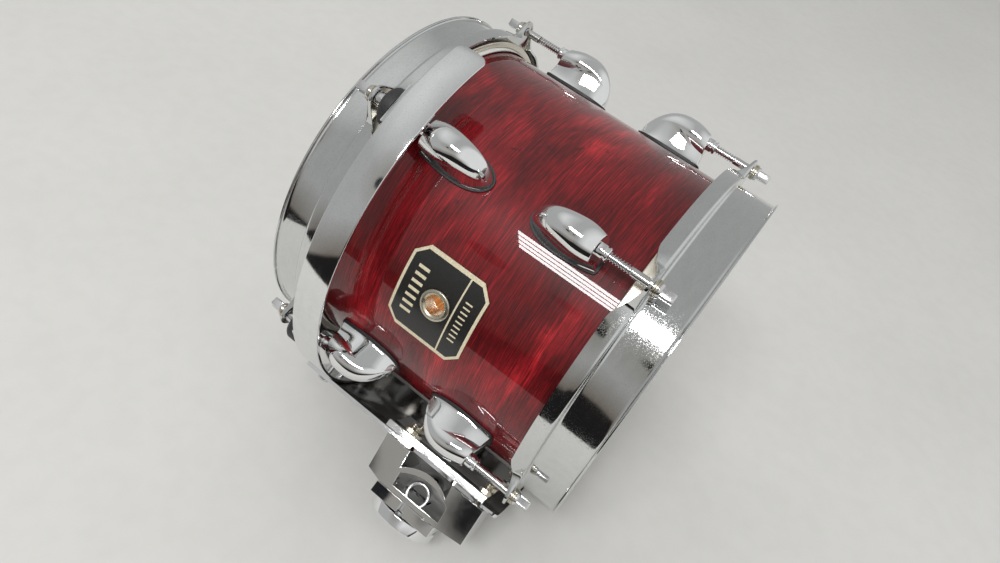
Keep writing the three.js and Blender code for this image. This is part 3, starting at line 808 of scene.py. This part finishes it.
def gasket_outline():
    """The outline of the lug's base with an even margin, closer points at the tail."""
    margin = 1.4
    steps = 36
    near = [(LUG_TAIL - margin, 0.0)]
    for k in range(1, steps + 1):
        share = k / steps
        a = LUG_TAIL + (LUG_FACE - 2.0 - LUG_TAIL) * share * share
        wide = lug_half_width(a)
        slope = (lug_half_width(a + 0.05) - lug_half_width(max(a - 0.05, LUG_TAIL))) / 0.1
        size = math.hypot(slope, 1)
        near.append((a - margin * slope / size, wide + margin / size))
    end_a, end_side = near[-1]
    front = LUG_FACE + 1.2
    near += curve((end_a + 0.5, end_side - 0.2), (front, end_side - 0.6), (front, end_side - 4), 5)
    return near + [(a, -side) for a, side in reversed(near[1:])]


def gasket_mesh():
    """A flat pad, hollowed to the shell's curve."""
    pad = prism(gasket_outline(), SHELL - 4, GASKET_TOP)
    return cut(pad, drum_core(SHELL + 0.35, -5, 90))


def rod_mesh(rise):
    """Threaded and plain shank, flange and square head; and two washers."""
    seat = 99.2 + rise
    plain = 84.0 + rise
    smooth = rounded([(AXIS, plain), (2.4, plain), (2.9, plain + 0.8), (2.9, seat + 0.1),
                      (AXIS, seat + 0.1)], [0, 0.1, 0.2, 0, 0], steps=2)
    washers = [rounded([(2.95, a), (5.6, a), (5.6, a + 1.25), (2.95, a + 1.25)], 0.25, steps=2)
               for a in (seat, seat + 1.4)]
    base = seat + 2.7
    flange = rounded([(AXIS, base), (5.0, base), (5.1, base + 0.7), (4.6, base + 2.3), (AXIS, base + 2.7)],
                     [0, 0.3, 0.4, 0.7, 0], steps=3)
    parts = [revolve(smooth, 28), thread_mesh(52, plain + 0.4), revolve(flange, 32), square_head(base)]
    rod = moved(join(*parts), shift(0, 0, ROD_CIRCLE))
    rings = moved(join(*[revolve(w, 32) for w in washers]), shift(0, 0, ROD_CIRCLE))
    return rod, rings


def square_head(base):
    """The rod's key end, its far end chamfered."""
    rows = []
    corners = rounded(rectangle(-2.9, 2.9, -2.9, 2.9), 0.5, steps=2)
    for a, share in ((base + 2.1, 1.0), (base + 9.6, 1.0), (base + 10.3, 0.93), (base + 10.6, 0.8)):
        rows.append([(a, y * share, z * share) for y, z in corners])
    verts, faces = grid(rows, closed_columns=True)
    width = len(corners)
    faces.append(tuple(range(width))[::-1])
    faces.append(tuple(range(3 * width, 4 * width)))
    return verts, faces


def thread_mesh(start, end, steps=16, root=2.05, crest=2.95):
    """A helical ridge as one surface, its ends closed flat."""
    turns = int((end - start) / THREAD_PITCH)
    ridge = ((0.0, root), (0.3, root), (0.45, crest), (0.7, crest), (0.85, root))
    width = len(ridge)
    rows = []
    for i in range(turns * steps + 1):
        angle = 2 * math.pi * i / steps
        a = start + THREAD_PITCH * i / steps
        rows.append(at_angle([(out, a + share * THREAD_PITCH) for share, out in ridge], angle))
    verts, faces = grid(rows)
    for i in range(len(rows) - 1 - steps):
        j = i + steps
        faces.append((i * width + width - 1, j * width, (j + 1) * width, (i + 1) * width + width - 1))
    return verts, faces


def build_lugs_and_rods():
    """Five lugs to a head, each with its gasket, swivel nut, rod and washers."""
    lug, collar, gasket = lug_mesh(), collar_mesh(), gasket_mesh()
    for end, turn, rise in ENDS:
        rod, washers = rod_mesh(rise)
        for k in range(5):
            place = around(k * LUG_PITCH) @ turn
            number = k + 1
            make(f"{end}_lug_shell_{number}", *lug, CHROME, place=place,
                 node=f"{end}_lug_{number}", slot="chrome", crease=34)
            make(f"{end}_swivel_nut_{number}", *collar, CHROME, place=place, slot="chrome")
            bevel(make(f"{end}_gasket_{number}", *gasket, RUBBER, place=place,
                       node=f"{end}_lug_gasket_{number}", slot="black_rubber"), 0.3)
            name = f"{end}_tension_rod_{number}"
            make(f"{end}_rod_{number}", *rod, STEEL, body=name, place=place, node=name,
                 slot="bright_steel", crease=30)
            make(f"{end}_washers_{number}", *washers, BRASS, body=name, place=place, slot="brass")


# ---- suspension ring and rubbers ----


def build_ring():
    """The open band with rounded ends, its screw holes and its four tabs."""
    corner = 6.0
    corner_steps = 12
    band_steps = 220
    middle = 0.5 * (RING_INNER + RING_OUTER)
    span = math.radians(RING_ENDS[1] - RING_ENDS[0]) * middle
    near_end = [corner * (1 - math.cos(0.5 * math.pi * k / corner_steps)) for k in range(corner_steps + 1)]
    places = near_end + [corner + (span - 2 * corner) * k / band_steps for k in range(1, band_steps)]
    places += [span - place for place in reversed(near_end)]
    rows = []
    for place in places:
        reach = min(place, span - place)
        trim = corner - math.sqrt(max(corner ** 2 - max(corner - reach, 0) ** 2, 0))
        section = rounded(rectangle(RING_INNER, RING_OUTER, RING_EDGES[0] + trim, RING_EDGES[1] - trim),
                          0.7, steps=3)
        rows.append(at_angle(section, math.radians(RING_ENDS[0]) + place / middle))
    verts, faces = grid(rows, closed_columns=True)
    width = len(rows[0])
    faces.append(tuple(range(width)))
    faces.append(tuple(range((len(rows) - 1) * width, len(rows) * width))[::-1])
    holes = [moved(cylinder(SCREW_HOLE, 150, 170), around(angle) @ shift(RING_MIDDLE))
             for angle in RING_SCREW_ANGLES]
    band = cut((verts, faces), join(*holes))
    tabs = [moved(tab_mesh(), around(angle)) for angle in RING_RODS]
    make("suspension_band", *join(band, *tabs), RING_CHROME, node="suspension_ring", slot="chrome")


def tab_mesh():
    """The flat tab, with a hole for the rubber and a bend up into the band."""
    outline = [(-TAB_HALF_WIDTH, RING_INNER + 1)]
    for k in range(25):
        angle = math.pi + math.pi * k / 24
        outline.append((TAB_RADIUS * math.cos(angle), ROD_CIRCLE + TAB_RADIUS * math.sin(angle)))
    outline.append((TAB_HALF_WIDTH, RING_INNER + 1))
    verts, faces = prism(outline, TAB_FOOT, RING_EDGES[0])
    verts = [(z, x, y) for x, y, z in verts]
    hole = moved(cylinder(7, -90, -70), shift(0, 0, ROD_CIRCLE) @ Z_TO_X)
    flat = cut((verts, faces), hole)
    rows = []
    for side in range(-TAB_HALF_WIDTH, TAB_HALF_WIDTH + 1, 2):
        out = math.sqrt(RING_INNER ** 2 - side ** 2)
        row = []
        for k in range(7):
            turn = 0.5 * math.pi * k / 6
            row.append((TAB_FOOT + 2.8 * (1 - math.cos(turn)), side, out + 0.3 + 2.0 * math.sin(turn)))
        row.append((RING_EDGES[0] + 0.5, side, out + 0.2))
        row.append((RING_EDGES[0] - 0.2, side, out + 0.1))
        rows.append(row)
    verts, faces = grid(rows, closed_columns=True)
    width = len(rows[0])
    faces.append(tuple(range(width)))
    faces.append(tuple(range(len(verts) - width, len(verts)))[::-1])
    return join(flat, (verts, faces))


def build_rubbers():
    """A rubber dome on each tab, and a steel sleeve from it to the batter hoop's ear."""
    dome = -93.5
    under_tab = TAB_FOOT - 0.3
    over_tab = RING_EDGES[0] + 0.3
    end = RING_EDGES[0] + 5
    profile = rounded(
        [(3.5, dome), (11.2, dome), (12.8, dome + 2.2), (12.8, under_tab), (6.6, under_tab),
         (6.6, over_tab), (10, over_tab), (8.6, end), (3.5, end)],
        [0.3, 1.6, 1.2, 0.8, 0.3, 0.3, 0.5, 0.6, 0.3])
    rubber = revolve(profile, steps=64)
    ear = -(LEDGE + BATTER_RISE - 0.3)
    under_dome = dome - 0.05
    profile = rounded([(3.5, ear), (4.6, ear), (4.8, ear + 0.5), (4.8, under_dome), (3.5, under_dome)],
                      [0.1, 0.2, 0.2, 0.1, 0.1], steps=2)
    sleeve = revolve(profile, steps=40)
    for k, angle in enumerate(RING_RODS):
        place = around(angle) @ shift(0, 0, ROD_CIRCLE)
        make(f"isolation_bush_{k + 1}", *rubber, RUBBER, place=place,
             node=f"isolation_rubber_{k + 1}", slot="black_rubber")
        make(f"isolation_sleeve_{k + 1}", *sleeve, STEEL, place=place, slot="bright_steel")


# ---- mount plate, bracket and clamp ----


def screw_holes(places, start, end):
    """Cutters for screws at (along, angle) places."""
    return join(*[moved(cylinder(SCREW_HOLE, start, end, 24), around(angle) @ shift(a))
                  for a, angle in places])


def plate_screws():
    """Where the ring screws and the bracket screws go through the plates, as (along, angle)."""
    ring = [(RING_MIDDLE, angle) for angle in RING_SCREW_ANGLES]
    return ring + [(a, BRACKET_ANGLE + side) for a, side in BRACKET_SCREWS]


def build_plates():
    """The mount plate with its notch, with painted shade on the face that looks at the shell, and the bar
    behind it.
    """
    half = PLATE_OUTER * math.sin(math.radians(PLATE_HALF_ANGLE)) + 1
    start, end = PLATE_ENDS
    outline = rounded(
        [(start, -half), (67, -half), (85, -half + 3), (end, -half + 9), (end, half - 9), (85, half - 3),
         (67, half), (60, half), (57, half - 6), (21, half - 6), (18, half), (start, half)],
        [6, 4, 5, 6, 6, 5, 4, 0, 1.5, 1.5, 0, 6])
    holes = screw_holes(plate_screws(), 148, 172)
    reach = (-PLATE_HALF_ANGLE, PLATE_HALF_ANGLE)
    skin = moved(tube_part(PLATE_INNER, PLATE_OUTER, reach, PLATE_ENDS, 60), around(PLATE_ANGLE))
    plan = moved(prism(outline, 130, 190), around(PLATE_ANGLE))
    plate = make("carrier_plate", *cut(skin, holes, within=plan),
                 CHROME, PAINTED_SHADE_CHROME, node="mount_plate", slot="chrome")
    bevel(plate, 0.5, 3)
    # painted shade: the faces that look at the shell get the dark chrome
    use_second_material(plate, lambda a, out: out < PLATE_INNER + 0.3)
    reach = (-BACKING_HALF_ANGLE, BACKING_HALF_ANGLE)
    skin = moved(tube_part(155, PLATE_INNER - 0.3, reach, (-7, 84), 36), around(BACKING_ANGLE))
    bar = make("backing_bar", *cut(skin, holes), CHROME,
               node="backing_plate", slot="chrome")
    bevel(bar, 0.6, 3)


def bolt_slot(start, end):
    """A cutter for the slot that the eye bolt slides in."""
    return box((BOLT_MIDDLE - SLOT_HALF_LENGTH, BOLT_MIDDLE + SLOT_HALF_LENGTH),
               (-SLOT_HALF_WIDTH, SLOT_HALF_WIDTH), (start, end))


def build_bracket():
    """The cast block: a saddle on the plate, a tunnel for the tom arm and a slot for the eye bolt."""
    foot = 156
    top = BRACKET_TOP
    outline = [(-1, foot), (20.5, foot), (22.5, 174)]
    outline += curve((22.5, 174), (44, 158.5), (62, 171.5), 14)[1:]
    outline += [(59, foot), (88, foot), (89.5, top - 2.5), (69, top), (15, top), (3, top - 3)]
    body = prism_across(outline, BRACKET_HALF)
    seat = drum_core(PLATE_OUTER + 0.3, -10, 100)
    tunnel = [(25.5, 187.5), (24.5, 177.5)] + curve((24.5, 177.5), (45, 163.5), (66.5, 176), 14)[1:]
    tunnel += [(67.5, 187.5)]
    tunnel = prism_across(tunnel, BRACKET_HALF + 5)
    holes = screw_holes(BRACKET_SCREWS, 150, 173)
    verts, faces = cut(body, tunnel, seat, bolt_slot(180, 195), holes)
    casting = make("bracket_casting", verts, faces, CHROME, place=around(BRACKET_ANGLE),
                   node="bracket_body", slot="chrome")
    bevel(casting, 0.8, 3)


def build_eye_bolt():
    """The ring that pulls on the tom arm, and its stem."""
    profile = rounded(rectangle(6.6, 9.7, -5, 5), 1.2)
    eye = moved(revolve_upright(profile, 56), shift(BOLT_MIDDLE, 0, EYE_HEIGHT) @ Z_TO_MINUS_Y)
    stem = moved(cylinder(3.9, EYE_HEIGHT + 8.2, 207.9), shift(BOLT_MIDDLE))
    make("eye_bolt_forged", *join(eye, stem), STEEL, body="eye_bolt", place=around(BRACKET_ANGLE),
         node="eye_bolt", slot="bright_steel")


def build_clamp_bar():
    """The bar between bracket and knob, with a pocket for the eye and a slit in one side."""
    low_face = BRACKET_TOP + 0.3
    high_face = low_face + 8.8
    outline = rounded(rectangle(-26.5, 26.5, -BRACKET_HALF, BRACKET_HALF), [7, 7, 0.5, 0.5], steps=6)
    bar = moved(prism(outline, low_face, high_face), shift(BOLT_MIDDLE))
    pocket = bolt_slot(low_face - 1, EYE_HEIGHT + 10.2)
    hole = moved(cylinder(4.4, low_face - 1, high_face + 1), shift(BOLT_MIDDLE))
    slit = box((BOLT_MIDDLE - 2.2, BOLT_MIDDLE + 2.2), (18, BRACKET_HALF + 1),
               (low_face - 1, high_face + 1))
    verts, faces = cut(bar, pocket, hole, slit)
    bevel(make("clamp_bar_plated", verts, faces, CHROME, place=around(BRACKET_ANGLE),
               node="clamp_bar", slot="chrome"), 0.9, 3)


def build_knob():
    """A plain round knob with a domed face."""
    face = KNOB_FACE
    profile = [(AXIS, face + 7.5), (4.3, face + 7.5), (4.3, face)]
    profile += rounded([(24.5, face), (KNOB_RADIUS, face + 0.9), (KNOB_RADIUS - 0.6, face + 8.6),
                        (KNOB_RADIUS - 2.0, face + 10.0), (14, face + 11.9)],
                       [0.4, 1.0, 0.9, 2.0, 8], steps=4, closed=False)
    profile += [(AXIS, face + 12)]
    make("clamp_knob_plated", *revolve_upright(profile, 96), CHROME, body="clamp_knob",
         place=around(BRACKET_ANGLE) @ shift(BOLT_MIDDLE), node="clamp_knob", slot="chrome")


def build_screws():
    """Two round-headed screws through the ring, and four studs with nuts through the bracket's foot."""
    head = PLATE_OUTER + 0.4
    profile = rounded([(AXIS, 150.5), (1.9, 150.5), (2.4, 151.3), (2.4, head), (5.4, head),
                       (4.7, head + 2.1), (2.4, head + 3.2), (AXIS, head + 3.4)],
                      [0, 0.2, 0.2, 0, 0.5, 1.2, 2, 0], steps=3)
    screw = revolve_upright(profile, 40)
    for k, angle in enumerate(RING_SCREW_ANGLES):
        make(f"ring_screw_head_{k + 1}", *screw, STEEL, place=around(angle) @ shift(RING_MIDDLE),
             node=f"ring_screw_{k + 1}", slot="bright_steel")
    thread = moved(thread_mesh(146.2, 156, root=1.9, crest=2.35), Matrix.Rotation(-math.pi / 2, 4, "Y"))
    shank = cylinder(2.3, 155, 172)
    hexagon = [(4.6 * math.cos(math.pi * i / 3), 4.6 * math.sin(math.pi * i / 3)) for i in range(6)]
    stud = join(thread, shank, prism(rounded(hexagon, 0.3), 150.8, 154.1))
    for k, (a, side) in enumerate(BRACKET_SCREWS):
        place = around(BRACKET_ANGLE + side) @ shift(a)
        bevel(make(f"bracket_stud_{k + 1}", *stud, BRASS, place=place,
                   node=f"bracket_screw_{k + 1}", slot="brass", crease=30), 0.2)


# ---- setting, light and camera ----

SOFT_LAMPS = (("overhead", (-1.3, 0.6, 2.1), 1.6, 9), ("fill", (1.4, -0.2, 2.3), 2.4, 3))
CAMERA_PLACE = (0.1376, -0.3823, 0.5308)
CAMERA_TURN = (44.28, -13.958, 35.102)  # degrees
CAMERA_LENS = 26.067  # mm


def floor_piece(name, material, corners, faces):
    """Flat faces at floor level."""
    mesh = bpy.data.meshes.new(name)
    mesh.from_pydata([(x, y, 0) for x, y in corners], [], faces)
    mesh.materials.append(material)
    floor = link(name, mesh)
    return floor


def build_floor():
    """A table-sized floor that the drum is reflected with, and the same floor out to the horizon."""
    material = floor_material()
    table = rectangle(-1.6, 1.6, -0.55, 1.5)
    floor_piece("floor", material, table, [(0, 1, 2, 3)])
    rest = floor_piece("floor_beyond", material, table + rectangle(-9, 9, -9, 9),
                       [(4, 5, 1, 0), (5, 6, 2, 1), (6, 7, 3, 2), (7, 4, 0, 3)])
    rest.visible_glossy = False
    rest.visible_diffuse = False
    rest.visible_transmission = False
    rest.visible_shadow = False


def area_light(name, place, target, size_x, size_y, power, colour=(1, 1, 1)):
    """A rectangular lamp that faces its target."""
    light = bpy.data.lights.new(name, "AREA")
    light.energy = power
    light.color = colour
    light.shape = "RECTANGLE"
    light.size = size_x
    light.size_y = size_y
    lamp = link(name, light)
    lamp.location = place
    lamp.rotation_euler = (Vector(target) - Vector(place)).to_track_quat("-Z", "Y").to_euler()
    return lamp


def build_world():
    """The room that chrome and lacquer reflect: brighter to the right and overhead on the left,
    dark low down in front, with three dark patches near the camera. Diffuse rays and the camera
    each see one even grey."""
    world = bpy.data.worlds.new("studio")
    bpy.context.scene.world = world
    world.use_nodes = True
    n = Nodes(tree=world.node_tree)
    coordinates = n.add("ShaderNodeTexCoord")
    split = n.add("ShaderNodeSeparateXYZ")
    n.link(coordinates.outputs["Generated"], split.inputs["Vector"])
    x, y, z = (split.outputs[axis] for axis in "XYZ")
    limit = n.math("ADD", n.math("MULTIPLY", n.math("MINIMUM", x, 0.0), 0.55), 0.02)
    below = n.math("SUBTRACT", limit, z)
    front = n.math("LESS_THAN", y, 0.0)
    dark = n.math("MULTIPLY", n.span(below, -0.02, 0.02), front)
    dusk = n.math("MULTIPLY", n.span(below, -0.36, -0.02), n.span(n.math("MULTIPLY", y, -1.0), 0.5, 0.9))
    glow = n.math("MULTIPLY", n.span(z, 0.6, 0.9), n.span(n.math("MULTIPLY", x, -1.0), 0.1, 0.5))
    glow = n.math("MAXIMUM", glow, n.span(x, 0.14, 0.4))

    def blob(centre, inner, outer):
        """1 near a direction, fading to 0."""
        distance = n.add("ShaderNodeVectorMath", operation="DISTANCE")
        n.link(coordinates.outputs["Generated"], distance.inputs[0])
        distance.inputs[1].default_value = centre
        return n.math("SUBTRACT", 1.0, n.span(distance.outputs["Value"], inner, outer))

    room = n.mix(glow, (0.42, 0.425, 0.42), (0.76, 0.765, 0.76))
    room = n.mix(dusk, room, (0.2, 0.175, 0.15))
    room = n.mix(blob((-0.15, -0.79, 0.6), 0.1, 0.35), room, (0.32, 0.31, 0.285))
    room = n.mix(blob((-0.055, -0.797, 0.602), 0.02, 0.055), room, (0.01, 0.01, 0.011))
    room = n.mix(blob((-0.245, -0.8, 0.55), 0.042, 0.06), room, (0.015, 0.016, 0.018))
    room = n.mix(dark, room, (0.015, 0.014, 0.014))
    path = n.add("ShaderNodeLightPath")
    room = n.mix(path.outputs["Is Diffuse Ray"], room, (0.7, 0.7, 0.69))
    room = n.mix(path.outputs["Is Camera Ray"], room, (0.62, 0.615, 0.6))
    n.link(room, n.tree.nodes["Background"].inputs["Color"])


def build_light():
    """Four ceiling tubes side by side, two soft lamps that aren't reflected, and the heads' light."""
    for k in range(4):
        place = (0.06, -1.47 - 0.13 * k, 2.4)
        area_light(f"tube_{k + 1}", place, (place[0], place[1], 0.0), 1.2, 0.1, 11.5)
    for name, place, size, power in SOFT_LAMPS:
        soft = area_light(name, place, (0.0, 0.0, 0.1), size, size, power, (1.0, 0.998, 0.985))
        soft.visible_glossy = False
    inside = bpy.data.lights.new("through_the_heads", "POINT")
    inside.energy = 0.4
    inside.shadow_soft_size = 0.03
    link("through_the_heads", inside).location = CENTRE


def build_camera():
    """The camera, above and in front of the drum and a little to the right."""
    camera = bpy.data.cameras.new("camera")
    camera.lens = CAMERA_LENS
    camera.sensor_width = 36.0
    camera.clip_start = 0.01
    holder = link("camera", camera)
    holder.location = CAMERA_PLACE
    holder.rotation_euler = [math.radians(angle) for angle in CAMERA_TURN]
    bpy.context.scene.camera = holder
    bpy.context.scene.view_settings.view_transform = "Standard"


build_camera()
build_world()
build_light()
build_floor()
build_shell()
build_badge()
for end_name, end_turn, end_rise in ENDS:
    build_head(end_name, end_turn, end_rise)
    build_counterhoop(end_name, end_turn, end_rise)
build_lugs_and_rods()
build_ring()
build_rubbers()
build_plates()
build_bracket()
build_eye_bolt()
build_clamp_bar()
build_knob()
build_screws()
